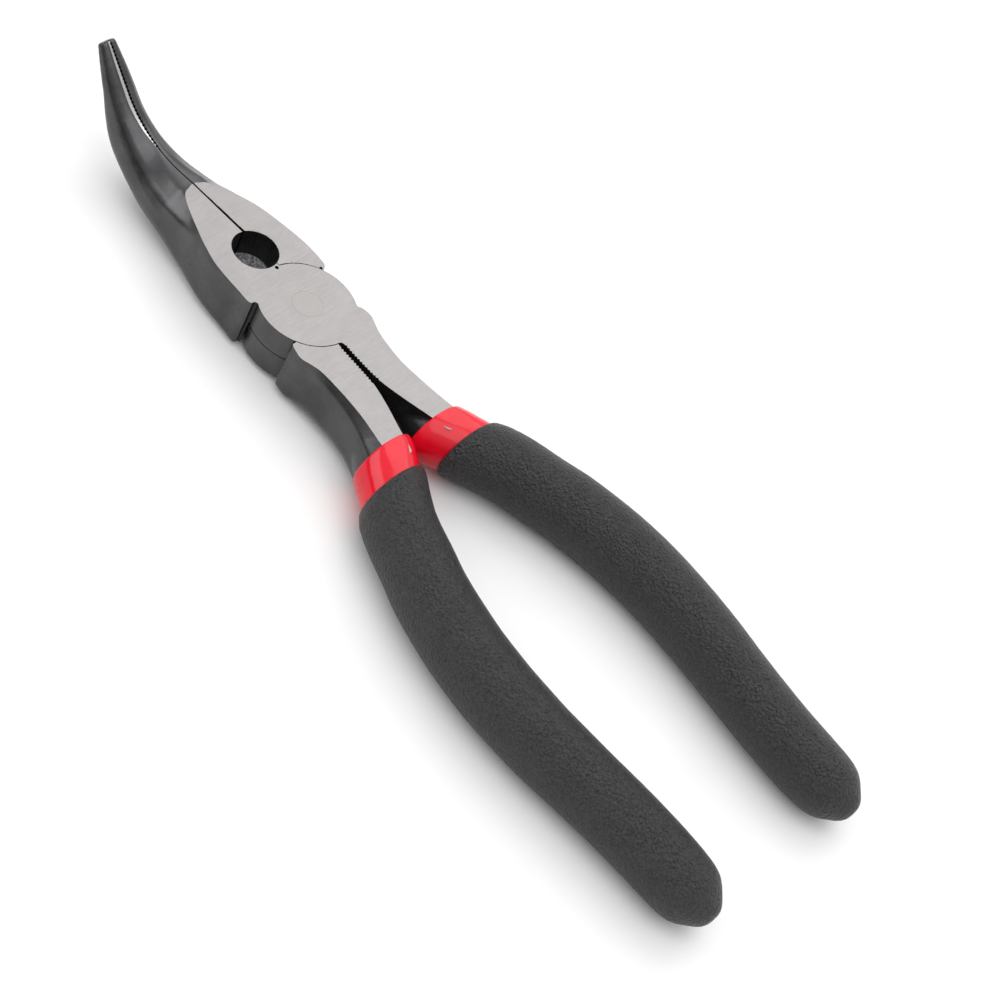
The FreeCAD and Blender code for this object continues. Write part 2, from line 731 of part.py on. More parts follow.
os.makedirs("parts", exist_ok=True)
for piece in pieces:
    piece.Shape.exportStep("parts/%s.step" % piece.Label)
    box = piece.Shape.BoundBox
    print("%-20s %9.1f mm3  x %7.2f %7.2f  y %7.2f %7.2f  z %6.2f %6.2f" % (
        piece.Label, piece.Shape.Volume, box.XMin, box.XMax, box.YMin, box.YMax, box.ZMin, box.ZMax))
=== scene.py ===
import math

import bmesh
import bpy
from mathutils import Matrix, Vector, noise


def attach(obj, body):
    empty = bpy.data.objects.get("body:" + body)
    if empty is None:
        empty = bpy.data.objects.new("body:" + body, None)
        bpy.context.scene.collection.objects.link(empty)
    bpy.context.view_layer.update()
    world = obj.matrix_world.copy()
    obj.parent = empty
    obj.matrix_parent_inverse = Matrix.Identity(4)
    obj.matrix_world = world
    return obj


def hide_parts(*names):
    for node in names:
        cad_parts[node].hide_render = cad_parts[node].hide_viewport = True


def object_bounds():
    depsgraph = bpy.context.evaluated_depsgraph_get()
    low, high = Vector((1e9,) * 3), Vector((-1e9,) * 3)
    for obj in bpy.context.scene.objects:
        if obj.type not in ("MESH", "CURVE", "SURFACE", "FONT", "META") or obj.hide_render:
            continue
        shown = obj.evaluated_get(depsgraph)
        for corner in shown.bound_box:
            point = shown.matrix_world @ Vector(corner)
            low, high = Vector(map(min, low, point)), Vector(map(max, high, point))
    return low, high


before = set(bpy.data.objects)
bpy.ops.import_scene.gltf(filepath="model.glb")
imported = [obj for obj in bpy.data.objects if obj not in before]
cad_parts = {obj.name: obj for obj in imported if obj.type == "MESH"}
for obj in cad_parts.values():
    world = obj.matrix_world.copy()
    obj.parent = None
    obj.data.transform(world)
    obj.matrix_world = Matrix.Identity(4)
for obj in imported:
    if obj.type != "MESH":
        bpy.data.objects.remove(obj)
bpy.context.view_layer.update()

# %% [markdown]
# ## The workbench
# Blender's tools for cutting and remeshing have small tolerances of their own, which suit a
# millimetre better than a thousandth of a metre. So every piece is modelled in millimetres and
# brought to metres once, when it is finished.
# %% Sizes shared by the pieces, in millimetres
THICK = 12.0            # between the ground faces
HALF = THICK / 2
PARTING = -2.23         # y of the plane where the jaws meet
DISC = 10.3             # radius of each half lap
DISC_GAP = 0.14         # hairline round the lap
LAP_GAP = 0.14          # each side of the middle plane
RIVET = 3.2             # radius of its shank
HEAD_RADIUS = 4.42
HEAD_HEIGHT = 1.4
HOLE = (15.5, -0.9, 4.84)   # x, y, radius
BEND_AT = 38.5          # where the nose starts to bend
BEND_RADIUS = 24.0
BEND_TURN = math.radians(42.5)
RIDGE = 11.8            # height of the nose's ridge where it starts to bend
NOSE_END = BEND_AT + BEND_RADIUS * BEND_TURN + 11.3
HANDLE_TURN = math.radians(5.46)
UP = Vector((0, 0, 1))
FINISHES = range(5)     # material numbers on a lever
# Of these finishes, the milled one is painted shade, the knurl's is painted light and the flat's is a
# painted highlight.
OXIDE, GROUND, MILLED, KNURL_PAINTED_LIGHT, PAINTED_HIGHLIGHT_STRIP = FINISHES
print("length along the ridge", round(NOSE_END, 1), "mm")


# %% [markdown]
# ## Smooth tables
# A forging has no formula, but it has a size at each place along it. A table of such sizes,
# joined by a smooth curve, gives every section between them. Catmull-Rom tangents keep the
# curve through each value and free of kinks.
# %% A smooth curve through a table
def smooth_row(table, at):
    """The row of a table (place, size, size, ...) at a place between its rows."""
    if at <= table[0][0]:
        return table[0][1:]
    if at >= table[-1][0]:
        return table[-1][1:]
    here = max(i for i in range(len(table) - 1) if table[i][0] <= at)
    first, last = table[here], table[here + 1]
    before = table[max(here - 1, 0)]
    after = table[min(here + 2, len(table) - 1)]
    span = last[0] - first[0]
    t = (at - first[0]) / span
    row = []
    for k in range(1, len(first)):
        rise_in = (last[k] - before[k]) / (last[0] - before[0]) * span
        rise_out = (after[k] - first[k]) / (after[0] - first[0]) * span
        row.append((2 * t ** 3 - 3 * t ** 2 + 1) * first[k] + (t ** 3 - 2 * t ** 2 + t) * rise_in
                   + (3 * t ** 2 - 2 * t ** 3) * last[k] + (t ** 3 - t ** 2) * rise_out)
    return row


def steps(first, last, size):
    """Evenly spaced places from first to last, about that far apart."""
    count = max(1, round(abs(last - first) / size))
    return [first + (last - first) * i / count for i in range(count + 1)]


print("halfway", smooth_row([(0, 1.0), (10, 3.0)], 5))


# %% [markdown]
# ## Places on the tool
# Two lines carry everything. The nose follows its ridge, which runs straight, bends upwards and
# runs straight again. Each handle is measured back along the handle line and out from it. A
# matrix at a place on either line turns a flat section into a section of the tool.
# %% Matrices along the nose and along a handle
def from_axes(x_axis, y_axis, z_axis, origin):
    matrix = Matrix((x_axis, y_axis, z_axis)).transposed().to_4x4()
    matrix.translation = origin
    return matrix


def nose_place(reach, side):
    """On the ridge: local x is out from the parting plane, local y is down, z is forward."""
    turn = min(max((reach - BEND_AT) / BEND_RADIUS, 0), BEND_TURN)
    forward = Vector((math.cos(turn), 0, math.sin(turn)))
    down = Vector((math.sin(turn), 0, -math.cos(turn)))
    spot = Vector((min(reach, BEND_AT), PARTING, RIDGE))
    spot += BEND_RADIUS * Vector((math.sin(turn), 0, 1 - math.cos(turn)))
    spot += forward * max(reach - BEND_AT - BEND_RADIUS * BEND_TURN, 0)
    return from_axes(Vector((0, side, 0)), down, forward, spot)


def handle_spot(side, back, out, height=HALF):
    turn = Matrix.Rotation(-HANDLE_TURN, 3, "Z")
    return turn @ Vector((-back, out * side, height))


def handle_place(side, back, out=0.0, height=0.0, slope=0.0):
    """Across a handle: local x is out, local y is up, z is forward along the handle."""
    turn = Matrix.Rotation(-HANDLE_TURN - side * slope, 3, "Z")
    out_axis = turn @ Vector((0, side, 0))
    return from_axes(out_axis, UP, turn @ Vector((1, 0, 0)), handle_spot(side, back, out, height))


print("tip of the ridge", [round(v, 1) for v in nose_place(NOSE_END, 1).translation])


# %% [markdown]
# ## Lofts
# A section starts as a flat polygon with a few corners. A bevel on a corner rounds it, always
# with the same number of steps, so neighbouring sections have as many points as each other and
# can be bridged. Filling the two end loops closes the shell.
# %% Section rings and lofts
ROUND_STEPS = 4
CIRCLE_STEPS = 48
CRISP = 0.05            # ease of a corner that stays sharp


def added(bm, other):
    """Moves another bmesh's shells into this one."""
    mesh = bpy.data.meshes.new("shell")
    other.to_mesh(mesh)
    other.free()
    bm.from_mesh(mesh)
    bpy.data.meshes.remove(mesh)


def section_ring(bm, corners, place):
    """Adds a ring through corners (x, y, ease), eased that far from each; returns its edges."""
    flat = bmesh.new()
    verts = [flat.verts.new((x, y, 0)) for x, y, ease in corners]
    flat.faces.new(verts)
    for vert, corner in zip(verts, corners):
        bmesh.ops.bevel(flat, geom=[vert], offset=corner[2], offset_type="OFFSET", affect="VERTICES",
                        segments=ROUND_STEPS, profile=0.5, material=-1)
    bmesh.ops.delete(flat, geom=flat.faces[:], context="FACES_ONLY")
    bmesh.ops.transform(flat, matrix=place, verts=flat.verts)
    count = len(bm.edges)
    added(bm, flat)
    bm.edges.ensure_lookup_table()
    return bm.edges[count:]


def edges_of(verts):
    return list({edge for vert in verts for edge in vert.link_edges})


def circle_ring(bm, radius, place):
    made = bmesh.ops.create_circle(bm, cap_ends=False, segments=CIRCLE_STEPS, radius=radius, matrix=place)
    return edges_of(made["verts"])


def outwards(bm):
    bmesh.ops.recalc_face_normals(bm, faces=bm.faces)


def loft(bm, rings):
    """Joins rings into one closed shell."""
    for first, last in zip(rings, rings[1:]):
        bmesh.ops.bridge_loops(bm, edges=first + last)
    for end in (rings[0], rings[-1]):
        bmesh.ops.contextual_create(bm, geom=end)
    outwards(bm)


trial = bmesh.new()
print("points in a ring", len(circle_ring(trial, 1.0, Matrix())))
trial.free()


# %% [markdown]
# ## Forging
# A forged lever is one lump of steel whose parts flow into each other: a half lap, a jaw, a neck
# and a bar. Each is a simple closed shell. A voxel remesh puts one skin over all of them where
# they overlap, and a few rounds of smoothing melt the joins and round the edges, which is what
# the die does. A little noise along the normals gives the slight waves of a forged surface.
# %% Remesh, relax and wave a skin
VOXEL = 0.3
SMOOTH_ROUNDS = 7
WAVE = 0.035            # height of the broad waves
RIPPLE = 0.35 * WAVE    # height of the finer ones


def modified(mesh, kind, **settings):
    """A new mesh: this one with one modifier applied."""
    thing = bpy.data.objects.new("workpiece", mesh)
    bpy.context.scene.collection.objects.link(thing)
    modifier = thing.modifiers.new("work", kind)
    for name, value in settings.items():
        setattr(modifier, name, value)
    graph = bpy.context.evaluated_depsgraph_get()
    made = bpy.data.meshes.new_from_object(thing.evaluated_get(graph), depsgraph=graph)
    bpy.data.objects.remove(thing)
    bpy.data.meshes.remove(mesh)
    return made


def mesh_of(bm, name="work"):
    mesh = bpy.data.meshes.new(name)
    bm.to_mesh(mesh)
    bm.free()
    return mesh


def bmesh_of(mesh):
    bm = bmesh.new()
    bm.from_mesh(mesh)
    bpy.data.meshes.remove(mesh)
    return bm


def forged(shells):
    outwards(shells)
    bm = bmesh_of(modified(mesh_of(shells), "REMESH", mode="VOXEL", voxel_size=VOXEL, adaptivity=0))
    for _ in range(SMOOTH_ROUNDS):
        bmesh.ops.smooth_vert(bm, verts=bm.verts, factor=0.5,
                              use_axis_x=True, use_axis_y=True, use_axis_z=True)
    bm.normal_update()
    for vert in bm.verts:
        lift = WAVE * noise.noise(vert.co * 0.22) + RIPPLE * noise.noise(vert.co * 0.8)
        vert.co += vert.normal * lift
    for face in bm.faces:
        face.smooth = True
        face.material_index = OXIDE
    return bm


print("skin of", VOXEL, "mm voxels, smoothed", SMOOTH_ROUNDS, "times")


# %% [markdown]
# ## Machining
# After forging, a lever is ground flat on both faces, and its recess, hole, teeth and gripping
# face are cut. Bisecting with a plane and filling the cut is the grinding. A boolean with a
# cutter is the milling. Each cut face keeps its own material number, so the finish can tell
# bright ground steel from black forging.
# %% Grinding and milling
GROUND_END = 37.0       # the belt stops behind the bend of the nose
ON_PLANE = 0.0005       # a point this near a cutting plane counts as on it
LOW, HIGH = -5.0, 20.0  # a cutter passes both ground faces


def only(kind, items):
    return [item for item in items if isinstance(item, kind)]


def ground(bm, height, up):
    """Cuts off what stands beyond a level plane, and fills the cut with a ground face."""
    faces = [face for face in bm.faces if all(vert.co.x < GROUND_END for vert in face.verts)]
    edges = list({edge for face in faces for edge in face.edges})
    verts = list({vert for face in faces for vert in face.verts})
    cut = bmesh.ops.bisect_plane(bm, geom=verts + edges + faces, dist=ON_PLANE, plane_co=(0, 0, height),
                                 plane_no=(0, 0, up), clear_outer=True)
    filled = bmesh.ops.holes_fill(bm, edges=only(bmesh.types.BMEdge, cut["geom_cut"]), sides=0)
    for face in filled["faces"]:
        face.material_index = GROUND
        face.smooth = False
        if face.normal.z * up < 0:
            face.normal_flip()
    return len(filled["faces"])


def milled(bm, cutter, material):
    """The bmesh less a cutter, whose cut faces take a material number."""
    outwards(cutter)
    for face in cutter.faces:
        face.material_index = material
        face.smooth = material != GROUND
    blank = mesh_of(bm, "blank")
    tool = mesh_of(cutter, "cutter")
    for mesh in (blank, tool):
        for _ in FINISHES:
            mesh.materials.append(None)
    holder = bpy.data.objects.new("cutter", tool)
    bpy.context.scene.collection.objects.link(holder)
    made = modified(blank, "BOOLEAN", operation="DIFFERENCE", solver="EXACT", object=holder,
                    material_mode="INDEX")
    bpy.data.objects.remove(holder)
    bpy.data.meshes.remove(tool)
    return bmesh_of(made)


def cylinder(radius, low=LOW, high=HIGH, x=0.0, y=0.0, segments=128, low_radius=None):
    bm = bmesh.new()
    middle = Matrix.Translation((x, y, (low + high) / 2))
    bmesh.ops.create_cone(bm, cap_ends=True, segments=segments, radius1=low_radius or radius,
                          radius2=radius, depth=high - low, matrix=middle)
    return bm


def prism(points, low, high):
    """An upright prism over an outline (x, y)."""
    bm = bmesh.new()
    face = bm.faces.new([bm.verts.new((x, y, low)) for x, y in points])
    made = bmesh.ops.extrude_face_region(bm, geom=[face])
    top = only(bmesh.types.BMVert, made["geom"])
    bmesh.ops.translate(bm, verts=top, vec=(0, 0, high - low))
    return bm


print("cutters reach from", LOW, "to", HIGH, "mm")


# %% [markdown]
# ## The jaws
# Each jaw is a loft along the ridge. Its section has a top that is cut away to the ground face
# further back, a shoulder, a crease where the die's halves part, a nearly upright wall, and a
# rounded lower edge. The upper lever's jaw is the wider one at the joint.
# %% Sections of the jaws
# Along the ridge; top at the parting plane; shoulder; crease; wall; lower corner and its ease.
# Each place is (out, down) from the ridge line.
REAR_UPPER = [
    (2.0, -1.8, 11.8, -1.8, 12.9, -0.9, 13.1, 5.0, 13.0, 12.4, 0.8),
    (6.8, -1.8, 11.2, -1.8, 12.4, -0.9, 12.5, 5.0, 12.4, 12.4, 0.9),
    (10.2, -1.8, 10.9, -1.8, 11.97, -0.9, 12.05, 5.0, 11.9, 12.4, 1.2),
    (13.6, -1.8, 10.5, -1.8, 11.69, -0.8, 11.75, 5.0, 11.6, 12.4, 1.5),
    (17.9, -1.8, 9.7, -1.8, 11.1, -0.3, 11.2, 5.0, 11.05, 12.4, 1.9),
    (22.4, -1.8, 8.6, -1.8, 9.75, 0.9, 10.05, 5.0, 9.85, 12.4, 2.3),
    (25.0, -1.8, 7.15, -1.8, 9.1, 1.5, 9.45, 5.2, 9.25, 12.3, 2.8),
    (28.4, -1.6, 5.3, -1.6, 8.35, 2.0, 8.9, 5.4, 8.6, 12.1, 3.3),
    (31.6, -0.8, 4.25, -0.6, 7.6, 2.15, 8.45, 5.6, 8.15, 11.8, 3.9),
    (33.1, -0.5, 3.6, -0.35, 7.2, 2.3, 8.25, 5.6, 7.95, 11.6, 4.0),
]
REAR_LOWER = [
    (2.0, -1.8, 7.2, -1.8, 8.3, -0.9, 8.4, 5.0, 8.3, 12.4, 0.8),
    (5.2, -1.8, 7.5, -1.8, 8.6, -0.9, 8.7, 5.0, 8.6, 12.4, 0.9),
    (7.7, -1.8, 7.9, -1.8, 8.97, -0.9, 9.05, 5.0, 8.95, 12.4, 1.0),
    (12.0, -1.8, 8.1, -1.8, 9.2, -0.8, 9.25, 5.0, 9.1, 12.4, 1.3),
    (18.7, -1.8, 7.5, -1.8, 8.6, -0.3, 8.8, 5.0, 8.65, 12.4, 2.0),
    (22.75, -1.8, 6.85, -1.8, 8.3, 0.75, 8.65, 5.0, 8.4, 12.4, 2.4),
    (27.7, -1.6, 4.5, -1.6, 7.7, 1.35, 8.45, 5.4, 8.2, 12.2, 3.2),
    (30.1, -0.85, 4.35, -0.75, 7.35, 1.7, 8.35, 5.5, 8.1, 12.0, 3.6),
    (32.1, -0.5, 3.4, -0.4, 7.0, 2.05, 8.2, 5.6, 7.9, 11.7, 3.9),
    (33.6, -0.26, 2.6, -0.2, 6.8, 2.35, 8.05, 5.6, 7.8, 11.55, 4.0),
]
NOSE = [
    (34.35, -0.2, 3.0, -0.05, 6.75, 2.4, 8.05, 5.6, 7.8, 11.45, 4.0),
    (36.0, -0.1, 2.8, 0.12, 6.35, 2.4, 7.75, 5.5, 7.5, 11.15, 3.9),
    (38.5, 0.0, 2.4, 0.3, 5.8, 2.3, 7.3, 5.3, 7.0, 10.9, 3.7),
    (44.4, 0.05, 1.7, 0.5, 4.35, 1.8, 5.65, 4.6, 5.4, 9.7, 3.0),
    (50.4, 0.1, 1.5, 0.35, 3.4, 1.4, 4.5, 3.8, 4.3, 8.3, 2.4),
    (56.3, 0.15, 1.35, 0.2, 2.85, 0.95, 3.85, 2.4, 3.7, 5.3, 1.9),
    (61.95, 0.15, 1.15, 0.12, 2.25, 0.6, 3.1, 1.7, 2.95, 3.65, 1.4),
    (NOSE_END, 0.15, 0.8, 0.08, 1.45, 0.35, 2.05, 1.05, 1.95, 2.3, 0.9),
]
OVER = 1.6              # blank beyond a finished plane, to be cut off
BLANK_TOP = THICK + OVER


def jaw_blank(side, rear):
    bm = bmesh.new()
    rings = []
    for reach in steps(rear[0][0], NOSE_END, 0.9):
        top, *places, low_ease = smooth_row(rear + NOSE, reach)
        shoulder, crease, wall, under = zip(places[::2], places[1::2])
        corners = [
            (-OVER, top, CRISP),
            (0.75, top, 0.25),
            (*shoulder, 0.3),
            (*crease, min(0.9, 0.22 * wall[0])),
            (*wall, 0.8),
            (*under, low_ease),
            (-OVER, under[1], CRISP),
        ]
        rings.append(section_ring(bm, corners, nose_place(reach, side)))
    loft(bm, rings)
    return bm


trial = jaw_blank(1, REAR_UPPER)
print("jaw blank:", len(trial.faces), "faces")
trial.free()

# %% [markdown]
# ## The neck and the start of the bar
# Behind the joint each lever narrows to a neck with ground faces, and a round bar grows out of
# the neck under the collar. The neck is a loft of plain sections across the handle line, and the
# bar a loft of circles. The remesh joins them with a soft valley between.
# %% Sections of the neck and of the bar
# Back from the pivot; inner edge; outer edge at the ground face; bulge below it; lower ease.
NECK_UPPER = [
    (5.4, 0.1, 9.6, 9.75, 0.7),
    (7.7, 0.1, 10.2, 10.3, 1.0),
    (9.6, 0.1, 9.65, 9.8, 1.5),
    (11.5, 0.1, 8.95, 9.35, 2.0),
    (14.6, 0.1, 8.35, 9.2, 2.6),
    (19.3, 0.3, 7.95, 9.1, 3.0),
    (22.0, 0.75, 8.15, 9.3, 3.1),
    (24.6, 1.45, 8.5, 9.7, 3.2),
    (29.0, 2.8, 9.2, 10.8, 3.2),
    (33.0, 4.15, 9.9, 12.2, 3.2),
    (37.0, 5.2, 10.2, 13.0, 3.0),
]
NECK_LOWER = [
    (6.2, 1.05, 9.65, 9.75, 0.7),
    (8.2, 1.05, 10.15, 10.25, 1.0),
    (9.8, 1.05, 10.35, 10.5, 1.4),
    (11.6, 1.05, 9.5, 10.0, 2.0),
    (14.0, 1.05, 8.75, 9.75, 2.6),
    (20.0, 1.05, 8.5, 9.75, 3.0),
    (22.4, 1.3, 8.5, 9.9, 3.2),
    (25.5, 2.0, 8.65, 10.3, 3.2),
    (29.0, 3.0, 9.1, 11.2, 3.2),
    (33.0, 4.15, 9.7, 12.5, 3.2),
    (37.0, 5.2, 10.2, 13.2, 3.0),
]
# Back from the pivot; the handle's centre, out.
CENTRE = [
    (24.0, 5.45), (28.0, 5.85), (31.0, 6.55), (33.0, 7.1), (36.5, 8.75), (40.4, 11.0), (44.0, 13.3),
    (47.7, 15.2), (55.6, 17.9), (61.0, 19.8), (70.0, 21.8), (76.0, 22.7), (84.0, 23.2), (92.0, 23.1),
    (98.0, 22.7), (105.0, 22.0), (113.0, 21.2), (120.0, 20.7), (126.0, 20.5), (131.0, 20.5),
    (145.0, 20.6),
]
# Back from the pivot; radius of the steel bar.
BAR = [
    (24.0, 2.2), (26.0, 3.1), (28.0, 4.1), (31.0, 5.3), (33.0, 5.9), (36.5, 5.85), (40.4, 5.6),
    (47.0, 5.3), (55.0, 5.1), (100.0, 5.0), (120.0, 4.5), (131.0, 3.8),
]
BAR_CUT = 38.0          # the forged skin ends here, inside the sleeve
BULGE_TOP = 9.8         # height where the neck's side starts to lean in


def centre_line(back):
    """Out from the handle line, and the slope of the handle's centre, at a distance back."""
    out = smooth_row(CENTRE, back)[0]
    rise = smooth_row(CENTRE, back + 0.5)[0] - smooth_row(CENTRE, back - 0.5)[0]
    return out, math.atan(rise)


def across_handle(side, back):
    out, slope = centre_line(back)
    return handle_place(side, back, out, HALF, slope)


def neck_blank(side, table):
    bm = bmesh.new()
    rings = []
    for back in steps(table[0][0], table[-1][0], 1.0):
        inner, facet, bulge, ease = smooth_row(table, back)
        lean = (bulge - facet) / (THICK - BULGE_TOP)
        corners = [
            (inner, -0.7, CRISP),
            (inner, BLANK_TOP, CRISP),
            (facet - lean * OVER, BLANK_TOP, CRISP),
            (bulge, BULGE_TOP, 0.9),
            (bulge, -0.3, ease),
        ]
        rings.append(section_ring(bm, corners, handle_place(side, back)))
    loft(bm, rings)
    return bm


def bar_blank(side, end):
    bm = bmesh.new()
    rings = []
    for back in steps(BAR[0][0], end, 1.0):
        rings.append(circle_ring(bm, smooth_row(BAR, back)[0], across_handle(side, back)))
    loft(bm, rings)
    return bm


print("handle centre at 84 mm back:", [round(v, 2) for v in centre_line(84)])

# %% [markdown]
# ## A lever's blank
# The half lap is a disc, thick enough to be milled to the middle plane, and the lower one has a
# little draft. The jaw's rear corner is cut square first, because the die leaves it as a flat end.
# %% Forge a blank
# Two points (x, y) on the line across the jaw's end, the outer one first.
REAR_CORNER = {1: ((6.8, 10.2), (5.3, 8.8)), -1: ((5.2, -10.8), (4.1, -9.1))}
LAP_OVER = 3.0          # blank of a lap past the middle plane
LAP_DRAFT = 0.6         # how much the lower lap narrows downwards


def lever_blank(side, rear, neck_table):
    """side is +1 for the upper lever, whose jaw is on +Y and whose handle is on -Y."""
    skin = jaw_blank(side, rear)
    corner, inner = (Vector(point + (0,)) for point in REAR_CORNER[side])
    along = (inner - corner).normalized()
    outer_normal = Vector((along.y, -along.x, 0)) * side
    geom = skin.verts[:] + skin.edges[:] + skin.faces[:]
    cut = bmesh.ops.bisect_plane(skin, geom=geom, plane_co=corner, plane_no=outer_normal, clear_outer=True)
    bmesh.ops.holes_fill(skin, edges=only(bmesh.types.BMEdge, cut["geom_cut"]), sides=0)
    if side > 0:
        added(skin, cylinder(DISC, HALF - LAP_OVER, BLANK_TOP))
    else:
        top_radius = DISC + 0.1
        added(skin, cylinder(top_radius, -1.5, HALF + LAP_OVER, low_radius=top_radius - LAP_DRAFT))
    added(skin, neck_blank(-side, neck_table))
    added(skin, bar_blank(-side, BAR_CUT + 3))
    return forged(skin)


blanks = {1: lever_blank(1, REAR_UPPER, NECK_UPPER), -1: lever_blank(-1, REAR_LOWER, NECK_LOWER)}
print("forged faces", {side: len(bm.faces) for side, bm in blanks.items()})

# %% [markdown]
# ## Cutters
# The recess lets the other lap in. The parting cutter frees the jaw from its own lap forwards,
# with a slit that closes towards the tip. The hole is smooth at its rim and knurled lower down,
# to hold a pipe or a nut. A knurl is a grid of points on a cylinder, pushed in and out by turns.
# %% The recess, the slit and the holes
# Along the jaws; half the slit's width.
SLIT = [(10.0, 0.04), (20.0, 0.26), (34.0, 0.16), (NOSE_END, 0.07)]
SLIT_START = 11.0
SLIT_TURN = math.radians(24)    # of the cut round the other lever's lap
PAST_NOSE = 68.0
OVER_NOSE = 40.0
KNURL_LOW, KNURL_TOP = -3.0, 5.4
KNURL_COLUMNS, KNURL_ROWS = 56, 12
KNURL_DEPTH = 0.28


def recess_cutter(side):
    radius = DISC + DISC_GAP
    if side > 0:
        return cylinder(radius, high=HALF + LAP_GAP, segments=192)
    return cylinder(radius, low=HALF - LAP_GAP, segments=192)


def slit_cutter(side):
    """Everything on the other jaw's side, ahead of this lever's own lap."""
    outline = []
    for reach in steps(PAST_NOSE, SLIT_START, 1.5):
        outline.append((reach, PARTING + side * smooth_row(SLIT, reach)[0]))
    edge = PARTING + side * SLIT[0][1]
    start = math.asin(edge / DISC)
    for turn in steps(start, start - side * SLIT_TURN, math.radians(2)):
        outline.append((DISC * math.cos(turn), DISC * math.sin(turn)))
    far = PARTING - side * 12
    outline += [(outline[-1][0], far), (PAST_NOSE, far)]
    return prism(outline, LOW, OVER_NOSE)


def knurled_cutter():
    """The lower part of the hole, with a diamond knurl standing out from its wall."""
    x, y, radius = HOLE
    bm = cylinder(radius, KNURL_LOW, KNURL_TOP, x, y, segments=KNURL_COLUMNS)
    upright = [edge for edge in bm.edges if abs(edge.verts[0].co.z - edge.verts[1].co.z) > 1]
    bmesh.ops.subdivide_edges(bm, edges=upright, cuts=KNURL_ROWS - 1, use_grid_fill=False)
    for vert in bm.verts:
        spoke = Vector((vert.co.x - x, vert.co.y - y, 0))
        column = round(math.atan2(spoke.y, spoke.x) / math.tau * KNURL_COLUMNS)
        row = round((vert.co.z - KNURL_LOW) / (KNURL_TOP - KNURL_LOW) * KNURL_ROWS)
        if (column + row) % 2:
            vert.co += spoke.normalized() * KNURL_DEPTH
    return bm


print("knurl", len(knurled_cutter().verts), "points")

# %% [markdown]
# ## Fine teeth
# The teeth behind the joint and the serrations across the gripping faces are rows of V-shaped
# grooves. A bar turned on its edge cuts one groove, and a loop sets the bars along the curve. The
# serrations stop short of the ground face. The last cutter takes the upper corner off one
# gripping face, as a narrow flat from the bend to the tip.
# %% The teeth, the serrations and the flat
TOOTH_PITCH = 0.75
TOOTH_SIDE = 0.42
TOOTH_ROW = (11.6, 20.6)        # first and last, back from the pivot
SERRATION_PITCH = 0.8
SERRATION_SIDE = 0.34
SERRATION_ROW = (22.6, NOSE_END - 0.7)
SERRATION_LOW = 13.0
STRIP_SLOPE = 0.14
STRIP_DEPTH = 0.08
STRIP_START = 43.6
STRIP_TAPER = 8.0
STRIP_OVER = 1.5                # past the gripping face


def add_groove(bm, place, width, length):
    """Adds a square bar on its edge, along local y."""
    shape = Matrix.Rotation(math.radians(45), 4, "Y") @ Matrix.Diagonal((width, length, width, 1))
    bmesh.ops.create_cube(bm, size=1, matrix=place @ shape)


def tooth_cutter(side, table):
    bm = bmesh.new()
    for back in steps(*TOOTH_ROW, TOOTH_PITCH):
        inner = smooth_row(table, back)[0]
        add_groove(bm, handle_place(-side, back, inner, HALF), TOOTH_SIDE, 16.0)
    return bm


def serration_cutter(side):
    bm = bmesh.new()
    for reach in steps(*SERRATION_ROW, SERRATION_PITCH):
        gap = smooth_row(SLIT, reach)[0]
        top = -1.0 if reach > 45.0 else 1.6
        middle = Matrix.Translation((gap, (SERRATION_LOW + top) / 2, 0))
        add_groove(bm, nose_place(reach, side) @ middle, SERRATION_SIDE, SERRATION_LOW - top)
    return bm


def strip_cutter(side):
    """A narrow flat along the upper corner of a gripping face, from the bend to the tip."""
    bm = bmesh.new()
    rings = []
    for reach in steps(STRIP_START + 0.4, NOSE_END + 1.0, 0.8):
        top, shoulder = smooth_row(NOSE, min(reach, NOSE_END))[:2]
        width = 0.75 * shoulder * min((reach - STRIP_START) / STRIP_TAPER, 1)
        level = top + STRIP_DEPTH
        corners = [
            (-STRIP_OVER, top - 1.0, CRISP),
            (width + 1.2, top - 1.0, CRISP),
            (width, level, CRISP),
            (-STRIP_OVER, level + (width + STRIP_OVER) * STRIP_SLOPE, CRISP),
        ]
        rings.append(section_ring(bm, corners, nose_place(reach, side)))
    loft(bm, rings)
    return bm


print("serrations on each jaw", len(serration_cutter(1).verts) // 8)

# %% [markdown]
# ## Machining the levers
# The order is the workshop's: grind both faces, mill the recess, the slit, the hole and the
# rivet's seat, then cut the fine teeth. A groove behind each jaw frees the corner between its
# end and the disc. Where a milled wall meets a ground face the edge gets a hair-thin bevel, the
# line that a file leaves, and where the rough skin meets it the edge stays crisp.
# %% Machine a blank
CORNER_GROOVE = {1: (5.6, 9.35, 0.62), -1: (5.05, -9.35, 0.3)}     # x, y, radius
SLIT_DRILL = (9.95, -1.35, 0.42)    # a shallow hole where the slit meets the lap
RIVET_PRESS = 0.004
RIVET_RUN = 0.05
EDGE_BEVEL = 0.05


def soften_edges(bm):
    bmesh.ops.remove_doubles(bm, verts=bm.verts, dist=0.02)
    bmesh.ops.dissolve_degenerate(bm, dist=0.01, edges=bm.edges)
    bm.normal_update()
    rims = []
    for edge in bm.edges:
        if len(edge.link_faces) != 2:
            continue
        kinds = {face.material_index for face in edge.link_faces}
        middle = (edge.verts[0].co + edge.verts[1].co) / 2
        if GROUND in kinds and MILLED in kinds and middle.xy.length > RIVET + 0.5:
            rims.append(edge)
    bmesh.ops.bevel(bm, geom=rims, offset=EDGE_BEVEL, offset_type="OFFSET", affect="EDGES", segments=1,
                    profile=0.5, material=-1, clamp_overlap=False)
    return len(rims)


